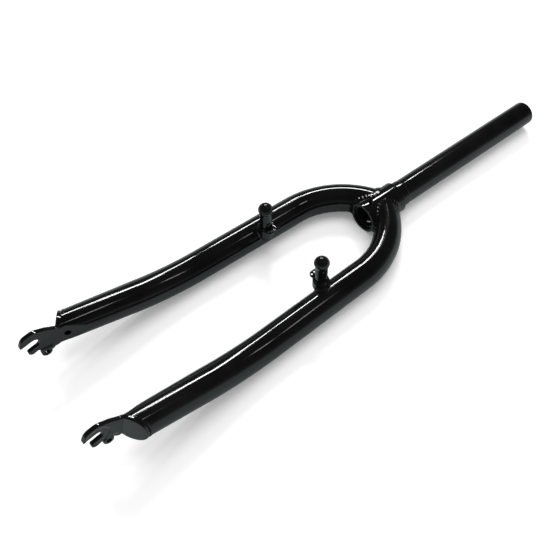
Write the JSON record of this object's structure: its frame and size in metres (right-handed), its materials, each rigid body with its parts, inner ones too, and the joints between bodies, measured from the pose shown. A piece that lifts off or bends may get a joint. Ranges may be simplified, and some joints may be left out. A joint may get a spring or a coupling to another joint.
{
  "type": "rigid bicycle fork",
  "caption": "Rigid bicycle fork for a 24 inch wheel: plain steerer, bent blades with raked tapered tips, folded dropouts and capped brake studs.",
  "frame": {"origin": "on the steerer axis, at the shoulder of the crown that the lower headset race sits on", "axes": "+X up the steerer, +Y across to the rider's right, +Z to the front of the bicycle, which is up as the fork lies on its back"},
  "size_m": [0.5786, 0.145, 0.064],
  "materials": {
    "paint_black": "gloss",
    "cap_black": "satin"
  },
  "bodies": {
    "root": {"steerer_tube": "paint_black", "crown_sleeve": "paint_black", "blade_left": "paint_black", "blade_right": "paint_black", "dropout_left": "paint_black", "dropout_right": "paint_black", "brake_boss_left": "paint_black", "brake_boss_right": "paint_black", "spring_plate_left": "paint_black", "spring_plate_right": "paint_black", "stud_cap_left": "cap_black", "stud_cap_right": "cap_black", "crown_weld_left": "paint_black", "crown_weld_right": "paint_black", "boss_weld_left": "paint_black", "boss_weld_right": "paint_black", "dropout_weld_left": "paint_black", "dropout_weld_right": "paint_black"}
  },
  "joints": []
}
